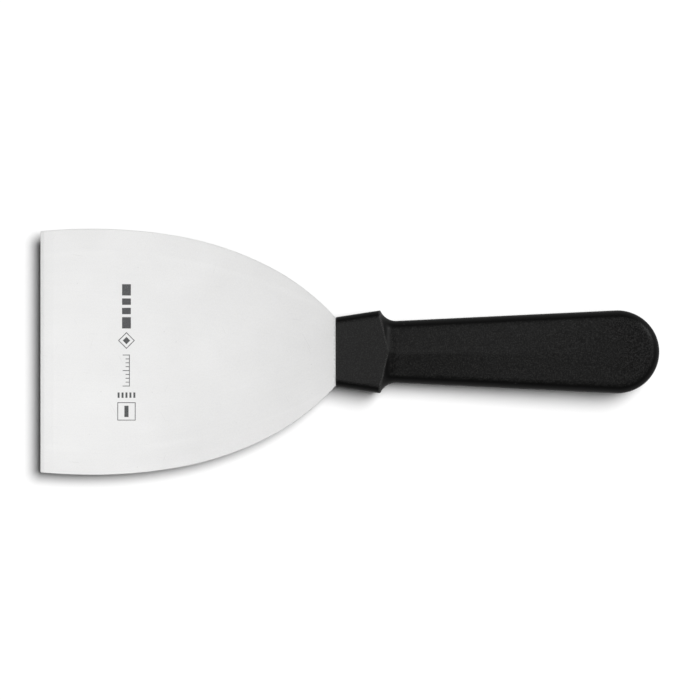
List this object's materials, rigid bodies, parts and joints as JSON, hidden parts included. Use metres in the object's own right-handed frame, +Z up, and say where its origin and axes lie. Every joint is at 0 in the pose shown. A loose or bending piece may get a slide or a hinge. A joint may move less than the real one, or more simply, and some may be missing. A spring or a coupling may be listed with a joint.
{
  "type": "ink knife",
  "caption": "Wide stainless steel ink knife with a straight edge, curved sides and a moulded black plastic handle over its tang.",
  "frame": {"origin": "middle of the knife's bounding box, at its lowest height, with the blade level", "axes": "+X along the knife from the cutting edge to the butt of the handle, +Z up, square to the blade, +Y across the blade"},
  "size_m": [0.2514, 0.1, 0.018],
  "materials": {
    "blade_steel": "fine satin",
    "handle_plastic": "fine spark texture",
    "blade_print": "matt ink"
  },
  "bodies": {
    "root": {"blade": "blade_steel", "handle": "handle_plastic"}
  },
  "joints": []
}
